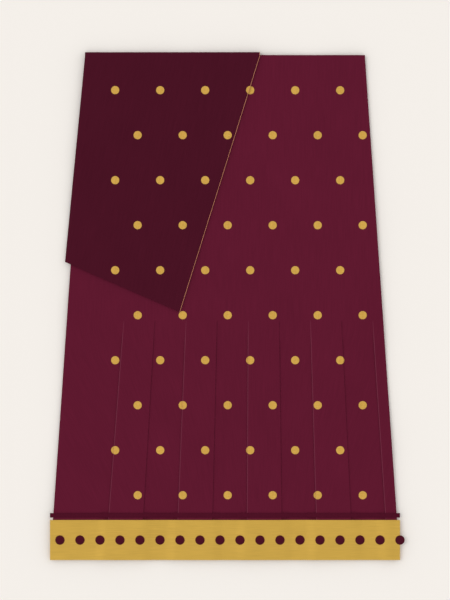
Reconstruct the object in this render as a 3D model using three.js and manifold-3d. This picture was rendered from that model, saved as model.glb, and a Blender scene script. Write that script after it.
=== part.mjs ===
// A saree laid flat: one long cloth folded back and forth into a tapering stack, its front
// stretch opened into box pleats that fan out towards the hem, and its darker end piece (the
// pallu) brought over the top edge and laid slantwise across the upper left.
//
// Garment coordinates, in millimetres: X runs to the right from the stack's centre line, Y runs up
// from the hem along the cloth's width, and Z is the height above the surface it lies on.

import * as THREE from "three";
import { mergeVertices } from "three/addons/utils/BufferGeometryUtils.js";
import Module from "manifold-3d";

// The cloth: woven 1.14 m wide, which is the distance from the hem to the top edge.
const CLOTH_WIDTH = 1140;
const HEM_WIDTH = 790;
const TOP_WIDTH = 632;
const CLOTH = 1; // thickness of one stretch of cloth, with the air it holds
const SEAM_GAP = 0.3; // clearance between one stretch and the next

// The hidden layers: four thicknesses of folded cloth that share one solid.
const LAYERS = 4;
const LAYER_HEIGHT = 2;
const STACK_HEIGHT = LAYERS * LAYER_HEIGHT;
const GROOVE_DEPTH = 2.5; // how far in the cloth's edges part at the top edge and the hem

// The front stretch turns under at both sides in a round fold.
const SIDE_FOLD_RADIUS = 1;
const SIDE_TURN_UNDER = 18;
const FRONT_Z = STACK_HEIGHT + SEAM_GAP + CLOTH / 2;
const FRONT_TOP = FRONT_Z + CLOTH / 2;

// Nine fold edges, lying at fan lines that spread towards the hem.
const FOLD_EDGES = 9;
const FAN_START = { y: 542, middle: 51.9, pitch: 70.2 };
const FAN_END = { y: 101, middle: 49.7, pitch: 78.1 };
const PLEAT_RADIUS = 0.75;
const PLEAT_OPENS_OVER = 80; // the folds round up from nothing in this length below FAN_START
const PLEAT_TUCK_AT_HEM = 24; // how far each fold is turned under at the hem
const LAST_TUCK_AT_HEM = 4; // the last fold has only a narrow flank to turn under
const SHORTEST_TUCK = 0.05; // where a fold is still opening, its two round edges just part
const PANEL_SAG = 0.7;

// The woven gold border, the dark ribbon above it, and the row of roundels on it.
const BORDER_HEIGHT = 90.3;
const BORDER_CLOTH = 1;
const RIBBON_FROM = 95.9;
const RIBBON_TO = 106.1;
const BORDER_END = 395; // the border and the ribbon are cut square here, on both sides
const ROUNDEL = { count: 18, pitch: 45.15, last: 395, y: 45.15, radius: 10.6, thickness: 1 };

// The pallu's four corners in plan, and how it is folded.
const PALLU = {
  topLeft: [-316, CLOTH_WIDTH],
  topRight: [79, CLOTH_WIDTH],
  bottomRight: [-101.6, 560],
  bottomLeft: [-361.2, 672.7],
};
const PALLU_FOLDS_HEIGHT = 3;
const PALLU_EDGE_DROOP = 1.6;
const PALLU_CORNER_DROOP = 5;
const PALLU_EDGE_BAND = 0.03; // the share of its width over which an edge droops
const PALLU_PAST_TOP = 6.8; // how far its fold stands out past the cloth's top edge
const PALLU_TURN_INSET = 2; // the fold starts to round this far inside the top edge
const PALLU_TAIL = 100; // how far it runs back under the stack
const PALLU_Z = FRONT_TOP + 2 * SEAM_GAP + PALLU_FOLDS_HEIGHT + CLOTH / 2;
const PIPING_WIDTH = 2.4;
const PIPING_HEIGHT = 1;

const COLOURS = {
  body: "#5e1a2f",
  pallu: "#491424",
  zari: "#caa348",
  ribbon: "#4d1427",
};

const wasm = await Module();
wasm.setup();

const lerp = THREE.MathUtils.lerp;
const smooth = (x, from, to) => THREE.MathUtils.smoothstep(x, from, to);

// Half the stack's width at a height above the hem.
const halfWidth = (y) => lerp(HEM_WIDTH, TOP_WIDTH, y / CLOTH_WIDTH) / 2;

// The X of fold edge i at a height above the hem: the fan lines are straight.
function fanLine(i, y) {
  const along = (y - FAN_START.y) / (FAN_END.y - FAN_START.y);
  const middle = lerp(FAN_START.middle, FAN_END.middle, along);
  const pitch = lerp(FAN_START.pitch, FAN_END.pitch, along);
  return middle + (i - (FOLD_EDGES - 1) / 2) * pitch;
}

// Walls of cloth

// Offsets a grid of centre points along its own normals. A point at a bend is moved a little
// further, so that the wall keeps its thickness round it.
function offsetGrid(grid, distance) {
  const tangentAt = (before, at, after) => {
    const t = new THREE.Vector3();
    if (after) t.add(after.clone().sub(at).normalize());
    if (before) t.add(at.clone().sub(before).normalize());
    return t;
  };
  return grid.map((row, j) =>
    row.map((p, i) => {
      const across = tangentAt(row[i - 1], p, row[i + 1]);
      const along = tangentAt(grid[j - 1]?.[i], p, grid[j + 1]?.[i]);
      const ends = i > 0 && i < row.length - 1 ? 2 : 1;
      const stretch = Math.min(ends / Math.max(across.length(), 0.1), 1.35);
      const normal = across.cross(along).normalize();
      return p.clone().addScaledVector(normal, distance * stretch);
    }),
  );
}

// A closed wall between two grids of the same size: `over` on the side its normals point to.
function wallBetween(over, under) {
  const rows = over.length;
  const columns = over[0].length;
  const positions = [...over.flat(), ...under.flat()].flatMap((p) => [p.x, p.y, p.z]);
  const at = (side, j, i) => side * rows * columns + j * columns + i;
  const index = [];
  const quad = (a, b, c, d) => index.push(a, b, c, a, c, d);
  for (let j = 0; j < rows - 1; j++) {
    for (let i = 0; i < columns - 1; i++) {
      quad(at(0, j, i), at(0, j, i + 1), at(0, j + 1, i + 1), at(0, j + 1, i));
      quad(at(1, j, i), at(1, j + 1, i), at(1, j + 1, i + 1), at(1, j, i + 1));
    }
    quad(at(0, j, 0), at(0, j + 1, 0), at(1, j + 1, 0), at(1, j, 0));
    const end = columns - 1;
    quad(at(0, j, end), at(1, j, end), at(1, j + 1, end), at(0, j + 1, end));
  }
  for (let i = 0; i < columns - 1; i++) {
    quad(at(0, 0, i), at(1, 0, i), at(1, 0, i + 1), at(0, 0, i + 1));
    const top = rows - 1;
    quad(at(0, top, i), at(0, top, i + 1), at(1, top, i + 1), at(1, top, i));
  }
  const geometry = new THREE.BufferGeometry();
  geometry.setAttribute("position", new THREE.Float32BufferAttribute(positions, 3));
  geometry.setIndex(index);
  return geometry;
}

// A wall of a given thickness, with its middle `lift` above the grid along the grid's normals.
function clothWall(grid, thickness, lift = 0) {
  return wallBetween(offsetGrid(grid, lift + thickness / 2), offsetGrid(grid, lift - thickness / 2));
}

// Rows of points from a section that gives [x, z] pairs at a height above the hem.
function gridFromSections(heights, section) {
  return heights.map((y) => section(y).map(([x, z]) => new THREE.Vector3(x, y, z)));
}

function toSolid(geometry) {
  const bare = geometry.clone();
  bare.deleteAttribute("normal");
  bare.deleteAttribute("uv");
  const merged = mergeVertices(bare, 1e-4);
  const vertProperties = new Float32Array(merged.attributes.position.array);
  const triVerts = new Uint32Array(merged.index.array);
  return new wasm.Manifold(new wasm.Mesh({ numProp: 3, vertProperties, triVerts }));
}

function toGeometry(solid) {
  const mesh = solid.getMesh();
  const geometry = new THREE.BufferGeometry();
  geometry.setAttribute("position", new THREE.BufferAttribute(mesh.vertProperties, 3));
  geometry.setIndex(new THREE.BufferAttribute(mesh.triVerts, 1));
  return geometry;
}

// A box from its lowest and highest corners.
function boxSolid(low, high) {
  const size = high.map((h, k) => h - low[k]);
  const box = new THREE.BoxGeometry(...size);
  box.translate(...low.map((l, k) => l + size[k] / 2));
  return toSolid(box);
}

// Slabs of folded cloth

// A ring round a quadrilateral whose sides are moved in, each by its own inset. The corners run
// anticlockwise from the hem's left end, and side k runs from corner k to corner k + 1.
const RING_STEPS = 7;
const CORNER_CUT = 0.012; // a corner is cut off over this share of each side
function ring(corners, insets, z) {
  const sides = corners.map(([x, y], k) => {
    const [nextX, nextY] = corners[(k + 1) % 4];
    const length = Math.hypot(nextX - x, nextY - y);
    const along = [(nextX - x) / length, (nextY - y) / length];
    return { from: [x - along[1] * insets[k], y + along[0] * insets[k]], along };
  });
  const meet = (a, b) => {
    const cross = a.along[0] * b.along[1] - a.along[1] * b.along[0];
    const dx = b.from[0] - a.from[0];
    const dy = b.from[1] - a.from[1];
    const t = (dx * b.along[1] - dy * b.along[0]) / cross;
    return [a.from[0] + a.along[0] * t, a.from[1] + a.along[1] * t];
  };
  const inner = sides.map((side, k) => meet(sides[(k + 3) % 4], side));
  return inner.flatMap(([x, y], k) => {
    const [nextX, nextY] = inner[(k + 1) % 4];
    return Array.from({ length: RING_STEPS + 1 }, (_, n) => {
      const share = lerp(CORNER_CUT, 1 - CORNER_CUT, n / RING_STEPS);
      return new THREE.Vector3(lerp(x, nextX, share), lerp(y, nextY, share), z);
    });
  });
}

// A closed solid through rings of the same length, from the lowest to the highest.
function solidThroughRings(rings) {
  const around = rings[0].length;
  const centre = (points) =>
    points.reduce((sum, p) => sum.add(p), new THREE.Vector3()).divideScalar(points.length);
  const points = [...rings.flat(), centre(rings[0]), centre(rings[rings.length - 1])];
  const index = [];
  const lowest = points.length - 2;
  const highest = points.length - 1;
  for (let i = 0; i < around; i++) {
    const next = (i + 1) % around;
    for (let j = 0; j < rings.length - 1; j++) {
      const a = j * around;
      const b = a + around;
      index.push(a + i, a + next, b + next, a + i, b + next, b + i);
    }
    const top = (rings.length - 1) * around;
    index.push(lowest, next, i, highest, top + i, top + next);
  }
  const geometry = new THREE.BufferGeometry();
  const positions = points.flatMap((p) => [p.x, p.y, p.z]);
  geometry.setAttribute("position", new THREE.Float32BufferAttribute(positions, 3));
  geometry.setIndex(index);
  return geometry;
}

// The heights at which a slab's edge changes, and how far in the cloth edge lies at each: every
// layer has a full edge with a groove under and over it.
const LIP_BEVEL = 0.35;
function layerHeights(bottom, layers, height) {
  const levels = [];
  for (let layer = 0; layer < layers; layer++) {
    const z = bottom + layer * height;
    levels.push({ z, layer, groove: 1 });
    levels.push({ z: z + LIP_BEVEL, layer, groove: 0 });
    levels.push({ z: z + height - LIP_BEVEL, layer, groove: 0 });
  }
  levels.push({ z: bottom + layers * height, layer: layers - 1, groove: 0.4 });
  return levels;
}

// How far each of the stack's layers falls short of the front stretch at its cut edges.
const EDGE_SHORT_OF_FRONT = [
  { atHem: 2.5, atTop: 1.5 },
  { atHem: 1.0, atTop: 3.0 },
  { atHem: 3.0, atTop: 1.0 },
  { atHem: 1.5, atTop: 2.5 },
];

// At its sides the stack shows two round folds, with a shoulder over them where the front stretch
// turns under.
const STACK_SIDE_FOLDS = 2;
const STACK_SIDE_INSET = 1.2;
function stackSolid() {
  const shoulder = FRONT_Z - 2 * SIDE_FOLD_RADIUS - CLOTH / 2 - SEAM_GAP;
  const radius = shoulder / STACK_SIDE_FOLDS / 2;
  const roundFold = (z) => {
    const fold = Math.min(Math.floor(z / (2 * radius)), STACK_SIDE_FOLDS - 1);
    const fromMiddle = z - (2 * fold + 1) * radius;
    return radius - Math.sqrt(Math.max(radius * radius - fromMiddle * fromMiddle, 0));
  };
  const corners = [
    [-halfWidth(0), 0],
    [halfWidth(0), 0],
    [halfWidth(CLOTH_WIDTH), CLOTH_WIDTH],
    [-halfWidth(CLOTH_WIDTH), CLOTH_WIDTH],
  ];
  const rings = layerHeights(0, LAYERS, LAYER_HEIGHT).map(({ z, layer, groove }) => {
    const { atHem, atTop } = EDGE_SHORT_OF_FRONT[layer];
    const inGroove = groove * GROOVE_DEPTH;
    const belowShoulder = z < shoulder - LIP_BEVEL / 2;
    const underFront = SIDE_TURN_UNDER + CLOTH + 2 * SEAM_GAP;
    const side = belowShoulder ? STACK_SIDE_INSET + roundFold(z) : underFront;
    return ring(corners, [atHem + inGroove, side, atTop + inGroove, side], z);
  });
  return toSolid(solidThroughRings(rings));
}

// The pallu's tail lies flush in the stack's underside, so the stack is cut away over it. The
// border takes the hem end of the stack, and each piece ends half a gap from the seam.
function hiddenPieces() {
  const [tailLeft] = PALLU.topLeft;
  const [tailRight] = PALLU.topRight;
  const tailEnd = CLOTH_WIDTH - PALLU_TURN_INSET - PALLU_TAIL;
  const room = CLOTH + SEAM_GAP;
  const tailRoom = boxSolid(
    [tailLeft - 60, tailEnd - 2 * SEAM_GAP, -1],
    [tailRight + 2 * SEAM_GAP, CLOTH_WIDTH + 10, room],
  );
  const stack = stackSolid().subtract(tailRoom);
  const half = HEM_WIDTH;
  const overBorder = boxSolid([-half, BORDER_HEIGHT - SEAM_GAP / 2, -1], [half, CLOTH_WIDTH * 2, 50]);
  const underBorder = boxSolid([-half, -50, -1], [half, BORDER_HEIGHT + SEAM_GAP / 2, 50]);
  return {
    layers: toGeometry(stack.subtract(underBorder)),
    border: toGeometry(stack.subtract(overBorder)),
  };
}

// The front stretch

// How far the pleats have opened at a height above the hem: the angle that each round edge turns
// through, and how far the cloth between its two round edges runs under.
function pleatAt(y, i) {
  const angle = Math.PI * smooth(FAN_START.y - y, 0, PLEAT_OPENS_OVER);
  const tuckAtHem = i === FOLD_EDGES - 1 ? LAST_TUCK_AT_HEM : PLEAT_TUCK_AT_HEM;
  const opened = THREE.MathUtils.clamp(1 - y / (FAN_START.y - PLEAT_OPENS_OVER), 0, 1);
  return { angle, tuck: Math.max(tuckAtHem * opened, SHORTEST_TUCK) };
}

// The height of a raised panel over the one beside it.
function pleatRise(y) {
  const { angle } = pleatAt(y, 0);
  const edge = Math.PI * PLEAT_RADIUS;
  return angle > 1e-6 ? (2 * edge * (1 - Math.cos(angle))) / angle : 0;
}

// One fold, stepping up to the right: an edge of cloth that rounds back over itself and then
// forward again. Both round edges keep the same length of cloth while they open, so their
// curvature is the angle over that length. The leftmost point lies at `x`.
const EDGE_STEPS = 3;
function foldUp(x, { angle, tuck }) {
  const edge = Math.PI * PLEAT_RADIUS;
  const bend = Math.max(angle, 1e-4) / edge;
  const arc = (s) => [Math.sin(bend * s) / bend, (1 - Math.cos(bend * s)) / bend];
  const [arcX, arcZ] = arc(edge);
  const back = [tuck * Math.cos(angle), tuck * Math.sin(angle)];
  const width = 2 * arcX + back[0];
  const start = angle < Math.PI / 2 ? x - width / 2 : x + 1 / bend - width;
  const points = [];
  for (let k = 0; k <= EDGE_STEPS; k++) {
    const [dx, dz] = arc((edge * k) / EDGE_STEPS);
    points.push([start + dx, dz]);
  }
  for (let k = EDGE_STEPS; k >= 0; k--) {
    const [dx, dz] = arc((edge * k) / EDGE_STEPS);
    points.push([start + width - dx, 2 * arcZ + back[1] - dz]);
  }
  return points;
}

// The same fold stepping down to the right.
const foldDown = (x, pleat) =>
  foldUp(x, pleat)
    .map(([px, z]) => [2 * x - px, z])
    .reverse();

// The round fold at the left side, from the end of the turned-under strip to the top.
const SIDE_STEPS = 4;
function leftSideFold(x) {
  const r = SIDE_FOLD_RADIUS;
  const points = [[x + SIDE_TURN_UNDER, -2 * r]];
  for (let k = 0; k <= SIDE_STEPS; k++) {
    const a = (Math.PI * k) / SIDE_STEPS;
    points.push([x + r - r * Math.sin(a), -r - r * Math.cos(a)]);
  }
  return points;
}

// The narrow right flank comes down from the last fold to the side.
const FLANK_FALL = [
  { share: 0.4, rise: 0.8 },
  { share: 0.8, rise: 0.15 },
];
const flankPoint = (from, to, rise, { share, rise: part }) => [lerp(from, to, share), rise * part];

// The section across the front stretch at a height above the hem, from left to right, with its
// middle at FRONT_Z on the flat stretches.
function frontSection(y) {
  const side = halfWidth(y) - CLOTH / 2;
  const rise = pleatRise(y);
  const sag = (PANEL_SAG * rise) / (4 * PLEAT_RADIUS);
  const points = leftSideFold(-side);
  points.push([lerp(-side, fanLine(0, y), 0.5), 0]);
  for (let i = 0; i < FOLD_EDGES; i++) {
    const stepsUp = i % 2 === 0;
    const x = fanLine(i, y);
    points.push(...(stepsUp ? foldUp : foldDown)(x, pleatAt(y, i)));
    const middle = (x + fanLine(i + 1, y)) / 2;
    if (i < FOLD_EDGES - 1) points.push([middle, stepsUp ? rise - sag : 0]);
  }
  const [lastX] = points[points.length - 1];
  for (const fall of FLANK_FALL) points.push(flankPoint(lastX, side, rise, fall));
  points.push(...leftSideFold(-side).map(([x, z]) => [-x, z]).reverse());
  return points.map(([x, z]) => [x, z + FRONT_Z]);
}

const OPENING_STEPS = 8;
const openingRows = Array.from(
  { length: OPENING_STEPS + 1 },
  (_, k) => FAN_START.y - PLEAT_OPENS_OVER * (1 - k / OPENING_STEPS),
);
const FRONT_ROWS = [0, 110, 300, ...openingRows, 760, CLOTH_WIDTH];

// The border

// The surface that the border lies on: the front stretch seen from above, with the steps between
// its panels bridged by short ramps beside the raised folds. It runs on level past both sides.
const RAMP_FROM = 1.5;
const RAMP_TO = 18;
function frontFromAbove(y, reach) {
  const side = halfWidth(y) - CLOTH / 2;
  const rise = pleatRise(y);
  const points = [[-reach, 0]];
  for (let i = 0; i < FOLD_EDGES; i++) {
    const x = fanLine(i, y);
    const outwards = i % 2 === 0 ? -1 : 1;
    const ramp = [
      [x + outwards * RAMP_TO, 0],
      [x + outwards * RAMP_FROM, rise],
    ];
    points.push(...(outwards < 0 ? ramp : ramp.reverse()));
    const middle = (x + fanLine(i + 1, y)) / 2;
    if (outwards < 0 && i < FOLD_EDGES - 1) points.push([middle, rise - PANEL_SAG]);
  }
  const lastX = fanLine(FOLD_EDGES - 1, y) + PLEAT_RADIUS;
  for (const fall of FLANK_FALL) points.push(flankPoint(lastX, side, rise, fall));
  points.push([side - SIDE_FOLD_RADIUS, 0], [reach, 0]);
  return points.map(([x, z]) => [x, z + FRONT_TOP]);
}

// A band of cloth sewn on the front stretch between two heights above the hem.
function band(from, to, thickness) {
  const grid = gridFromSections([from, to], (y) => frontFromAbove(y, BORDER_END));
  return clothWall(grid, thickness, SEAM_GAP + thickness / 2);
}

// A roundel is cut by a cylinder from a cloth that lies on the border.
const ROUNDEL_SIDES = 20;
function roundel(x) {
  const { y, radius, thickness } = ROUNDEL;
  const rows = [y - 2 * radius, y + 2 * radius];
  const grid = gridFromSections(rows, (at) => frontFromAbove(at, BORDER_END + 2 * radius));
  const lift = 2 * SEAM_GAP + BORDER_CLOTH + thickness / 2;
  const cutter = new THREE.CylinderGeometry(radius, radius, 100, ROUNDEL_SIDES);
  cutter.rotateX(Math.PI / 2).translate(x, y, 0);
  return toGeometry(toSolid(clothWall(grid, thickness, lift)).intersect(toSolid(cutter)));
}

// The pallu

// A point on the pallu: u runs across from its left edge to its right one, v runs along from its
// free end (0) to the top edge (1), and on past 1 round the fold and back along the tail (3).
function palluPoint(u, v) {
  const mix = (a, b, t) => [lerp(a[0], b[0], t), lerp(a[1], b[1], t)];
  const flatTo = CLOTH_WIDTH - PALLU_TURN_INSET;
  const low = mix(PALLU.bottomLeft, PALLU.bottomRight, u);
  const high = mix(PALLU.topLeft, PALLU.topRight, u);
  const edge = (from) => THREE.MathUtils.clamp((from + PALLU_EDGE_BAND) / PALLU_EDGE_BAND, 0, 1);
  const corner = Math.max(PALLU_CORNER_DROOP * (1 - Math.min(v, 1)), PALLU_EDGE_DROOP);
  const droop = (corner * edge(-u) + PALLU_EDGE_DROOP * edge(u - 1)) * Math.max(1 - v ** 8, 0);
  if (v <= 1) {
    const [x, y] = mix(low, [high[0], flatTo], v);
    return new THREE.Vector3(x, y, PALLU_Z - droop);
  }
  const tailZ = CLOTH / 2;
  const depth = (PALLU_Z - tailZ) / 2;
  const out = PALLU_PAST_TOP - CLOTH / 2 + PALLU_TURN_INSET;
  if (v <= 2) {
    const turn = Math.PI * (v - 1);
    const y = flatTo + out * Math.sin(turn);
    return new THREE.Vector3(high[0], y, tailZ + depth * (1 + Math.cos(turn)));
  }
  return new THREE.Vector3(high[0], flatTo - PALLU_TAIL * (v - 2), tailZ);
}

const PALLU_COLUMNS = [0, PALLU_EDGE_BAND, 0.2, 0.4, 0.6, 0.8, 1 - PALLU_EDGE_BAND, 1];
const PALLU_ROWS = [0, 0.12, 0.3, 0.5, 0.7, 0.9, 1, 1.17, 1.33, 1.5, 1.67, 1.83, 2, 2.4, 3];

const palluGrid = () => PALLU_ROWS.map((v) => PALLU_COLUMNS.map((u) => palluPoint(u, v)));

// The gold piping lies on the pallu's right edge, as far as the middle of the fold.
function piping() {
  const rows = PALLU_ROWS.filter((v) => v <= 1.5);
  const grid = rows.map((v) => {
    const width = palluPoint(0, v).distanceTo(palluPoint(1, v));
    return [palluPoint(1 - PIPING_WIDTH / width, v), palluPoint(1, v)];
  });
  return clothWall(grid, PIPING_HEIGHT, CLOTH / 2 + SEAM_GAP + PIPING_HEIGHT / 2);
}

// The two layers folded inside the pallu, set in from its edges and from the stack's left side.
const PALLU_FOLD_LAYERS = 2;
function palluFolds() {
  const inset = 7;
  const top = CLOTH_WIDTH - PALLU_TURN_INSET - SEAM_GAP;
  const leftAt = (y) => -halfWidth(y) + 2 * SIDE_FOLD_RADIUS;
  const lowLeftY = PALLU.bottomLeft[1] + inset;
  const corners = [
    [leftAt(lowLeftY) + 2, lowLeftY],
    [PALLU.bottomRight[0] - inset, PALLU.bottomRight[1] + 1.6 * inset],
    [PALLU.topRight[0] - inset, top],
    [PALLU.topLeft[0] + inset, top],
  ];
  const bottom = FRONT_TOP + SEAM_GAP;
  const height = PALLU_FOLDS_HEIGHT / PALLU_FOLD_LAYERS;
  const rings = layerHeights(bottom, PALLU_FOLD_LAYERS, height).map(({ z, layer, groove }) => {
    const inwards = 2 * layer + groove * GROOVE_DEPTH;
    return ring(corners, [inwards, inwards, 0, inwards], z);
  });
  return solidThroughRings(rings);
}

// The saree

const saree = new THREE.Group();

function add(name, geometry, colour, roughness, metalness = 0) {
  const material = new THREE.MeshStandardMaterial({ color: colour, roughness, metalness });
  const mesh = new THREE.Mesh(geometry, material);
  mesh.name = name;
  saree.add(mesh);
}

const SILK_ROUGHNESS = 0.55;
const ZARI_ROUGHNESS = 0.4;
const ZARI_METALNESS = 0.4;

const hidden = hiddenPieces();
add("hidden_layers", hidden.layers, COLOURS.body, SILK_ROUGHNESS);
add("hidden_border", hidden.border, COLOURS.zari, ZARI_ROUGHNESS, ZARI_METALNESS);

const front = clothWall(gridFromSections(FRONT_ROWS, frontSection), CLOTH);
add("wrap_front", front, COLOURS.body, SILK_ROUGHNESS);

const border = band(0, BORDER_HEIGHT, BORDER_CLOTH);
add("hem_border", border, COLOURS.zari, ZARI_ROUGHNESS, ZARI_METALNESS);
const ribbon = band(RIBBON_FROM, RIBBON_TO, BORDER_CLOTH);
add("border_ribbon", ribbon, COLOURS.ribbon, SILK_ROUGHNESS);
for (let k = 0; k < ROUNDEL.count; k++) {
  const x = ROUNDEL.last - (ROUNDEL.count - 1 - k) * ROUNDEL.pitch;
  const number = String(k + 1).padStart(2, "0");
  add(`border_roundel_${number}`, roundel(x), COLOURS.ribbon, SILK_ROUGHNESS);
}

add("pallu", clothWall(palluGrid(), CLOTH), COLOURS.pallu, SILK_ROUGHNESS);
add("pallu_inner_folds", palluFolds(), COLOURS.pallu, SILK_ROUGHNESS);
add("pallu_piping", piping(), COLOURS.zari, ZARI_ROUGHNESS, ZARI_METALNESS);

// The part's origin is the middle of the saree's outline, on the surface that it lies on.
const outline = new THREE.Box3().setFromObject(saree);
const middle = outline.getCenter(new THREE.Vector3());
saree.position.set(-middle.x, -middle.y, -outline.min.z);
const part = new THREE.Group();
part.add(saree);

export default part;
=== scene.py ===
"""A burgundy silk saree, folded, pleated and laid flat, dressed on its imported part's solids."""

import math
from collections import namedtuple

import bpy
import numpy as np
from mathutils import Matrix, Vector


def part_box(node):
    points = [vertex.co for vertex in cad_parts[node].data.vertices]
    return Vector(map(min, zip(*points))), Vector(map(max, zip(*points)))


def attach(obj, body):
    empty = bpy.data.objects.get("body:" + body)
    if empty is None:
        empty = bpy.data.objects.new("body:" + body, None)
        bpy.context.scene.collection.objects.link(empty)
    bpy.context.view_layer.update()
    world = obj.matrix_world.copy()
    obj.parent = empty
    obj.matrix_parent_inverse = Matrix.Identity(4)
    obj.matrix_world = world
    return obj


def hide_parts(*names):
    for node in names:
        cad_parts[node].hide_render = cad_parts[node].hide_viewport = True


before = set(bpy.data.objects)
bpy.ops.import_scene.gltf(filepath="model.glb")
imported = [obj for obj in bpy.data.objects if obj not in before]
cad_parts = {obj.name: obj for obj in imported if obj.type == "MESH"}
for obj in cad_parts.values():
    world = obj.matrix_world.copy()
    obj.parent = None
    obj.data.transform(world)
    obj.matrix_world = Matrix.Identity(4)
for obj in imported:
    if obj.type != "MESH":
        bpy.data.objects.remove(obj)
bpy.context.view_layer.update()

# The view
# The saree lies on a pale surface and is seen from straight above, with its hem nearest the
# viewer. A long lens from high up keeps its straight edges straight.
MM = 0.001
PHOTO_WIDTH, PHOTO_HEIGHT = 450, 600  # pixels
CLOTH_WIDTH = 1140  # millimetres from the hem to the top edge, which is the width it is woven
PIXELS_HEM_TO_TOP = 505
MM_PER_PIXEL = CLOTH_WIDTH / PIXELS_HEM_TO_TOP
HEM_ROW = 560  # the pixel row of the hem
CAMERA_HEIGHT = 9.0  # metres above the cloth
CLOTH_LEVEL = 0.010
FARTHEST_SEEN = 100
SENSOR = 36.0

border_low, border_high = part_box("hem_border")
MIDDLE_X = (border_low.x + border_high.x) / 2
HEM_Y = border_low.y


def in_frame(points):
    """Garment millimetres, from the hem's middle, as metres in the frame: scaled and shifted."""
    return (np.asarray(points) * MM + (MIDDLE_X, HEM_Y, 0)).astype(np.float32)


def from_pixel(column, row):
    """A pixel of the photograph as garment millimetres: its distance from the hem's middle."""
    return (column - PHOTO_WIDTH / 2) * MM_PER_PIXEL, (HEM_ROW - row) * MM_PER_PIXEL


camera = bpy.data.objects.new("camera", bpy.data.cameras.new("camera"))
bpy.context.collection.objects.link(camera)
centre_x, centre_y = from_pixel(PHOTO_WIDTH / 2, PHOTO_HEIGHT / 2)
camera.location = in_frame((centre_x, centre_y, 0)).tolist()
camera.location.z = CAMERA_HEIGHT + CLOTH_LEVEL
camera.data.sensor_width = SENSOR
camera.data.lens = SENSOR * CAMERA_HEIGHT / (PHOTO_HEIGHT * MM_PER_PIXEL * MM)
camera.data.clip_end = FARTHEST_SEEN
bpy.context.scene.camera = camera
bpy.context.scene.view_settings.view_transform = "Standard"

# The surface and the light
# A plain pale table top. Soft light comes from all round, a little stronger from low down than
# from above, so that colours stay deep, and one soft lamp from the left draws the folds.
TABLE_COLOUR = "#f4efe9"
TABLE_SIZE = 60.0
RING_LIGHT, CEILING_LIGHT = 0.95, 0.82
RING_TOP, CEILING_FROM = 0.35, 0.95  # sines of the heights between which the light fades
LAMP_STRENGTH = 0.48
LAMP_HEIGHT, LAMP_BEARING = math.radians(58), math.radians(165)  # 90 is the top, 180 the left
LAMP_SPREAD = math.radians(30)


def linear(hex_colour):
    """An sRGB hex value as linear light: above 0.04045 a power of 2.4, below it a straight line."""
    channels = [int(hex_colour[i : i + 2], 16) / 255 for i in (1, 3, 5)]
    return (*(c / 12.92 if c <= 0.04045 else ((c + 0.055) / 1.055) ** 2.4 for c in channels), 1.0)


def add_node(tree, kind, inputs=(), **settings):
    """Adds a node and returns its first output in use. The settings are its options, and its
    inputs are values or other nodes' outputs."""
    node = tree.nodes.new(kind)
    for option, value in settings.items():
        setattr(node, option, value)
    for socket, value in dict(inputs).items():
        if isinstance(value, bpy.types.NodeSocket):
            tree.links.new(value, node.inputs[socket])
        else:
            node.inputs[socket].default_value = value
    return next((output for output in node.outputs if output.enabled), None)


def empty_material(name):
    """A material with an empty node tree."""
    material = bpy.data.materials.new(name)
    material.use_nodes = True
    material.node_tree.nodes.clear()
    return material, material.node_tree


def painted_table():
    """Matt pale paint: one even colour with no gloss."""
    material, tree = empty_material("painted_table")
    paint = {"Base Color": linear(TABLE_COLOUR), "Roughness": 1.0, "Specular IOR Level": 0.0}
    shader = add_node(tree, "ShaderNodeBsdfPrincipled", paint)
    add_node(tree, "ShaderNodeOutputMaterial", {"Surface": shader})
    return material


table_mesh = bpy.data.meshes.new("table_top")
reach = TABLE_SIZE / 2
table_corners = [(-reach, -reach, 0), (reach, -reach, 0), (reach, reach, 0), (-reach, reach, 0)]
table_mesh.from_pydata(table_corners, [], [(0, 1, 2, 3)])
table_mesh.materials.append(painted_table())
table_top = bpy.data.objects.new("table_top", table_mesh)
bpy.context.collection.objects.link(table_top)

world = bpy.data.worlds.new("studio")
world.use_nodes = True
studio = world.node_tree
studio.nodes.clear()
direction = add_node(studio, "ShaderNodeTexCoord").node.outputs["Generated"]
up = add_node(studio, "ShaderNodeSeparateXYZ", {0: direction}).node.outputs["Z"]
fade = {0: up, 1: RING_TOP, 2: CEILING_FROM, 3: RING_LIGHT, 4: CEILING_LIGHT}
light = add_node(studio, "ShaderNodeMapRange", fade, interpolation_type="SMOOTHSTEP")
glow = add_node(studio, "ShaderNodeBackground", {"Color": (1, 1, 1, 1), "Strength": light})
add_node(studio, "ShaderNodeOutputWorld", {"Surface": glow})
bpy.context.scene.world = world

lamp = bpy.data.objects.new("window_lamp", bpy.data.lights.new("window_lamp", "SUN"))
lamp.data.energy = LAMP_STRENGTH
lamp.data.angle = LAMP_SPREAD
lamp.rotation_euler = (math.pi / 2 - LAMP_HEIGHT, 0, LAMP_BEARING + math.pi / 2)
bpy.context.collection.objects.link(lamp)

# The hidden layers
# The rest of the saree's length, folded back and forth under the front. Round folds show at its
# sides and the woven edges at its hem and top, and each layer has the same gold border.
HEM_WIDTH, TOP_WIDTH = 790, 632
SILK = 0.6  # drawn thicker than the real 0.2 mm, so that its edge shows
FULL_LEVELS = (0.3, 2.0, 3.7, 5.4)  # heights of the layers' middles
SHORT_LEVEL, SHORT_INSET = 7.15, 21  # the uppermost lies between the front's turned-under sides
SIDE_INSET = 1.4
SHORT_OF_HEM = (2.5, 1.0, 3.0, 1.5, 2.2)  # how far each layer falls short of the front
SHORT_OF_TOP = (1.5, 3.0, 1.0, 2.5, 1.8)
BORDER_HEIGHT = 90.3
EDGE_WANDER = 0.7
STACK_ROWS_IN_BORDER, STACK_ROWS = 9, 90

TAIL_RIGHT, TAIL_END = 79, 1038  # the pallu's tail lies under the stack, left of and above these
TAIL_LIFT = 1.15
TAIL_RAMP = 28

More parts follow.
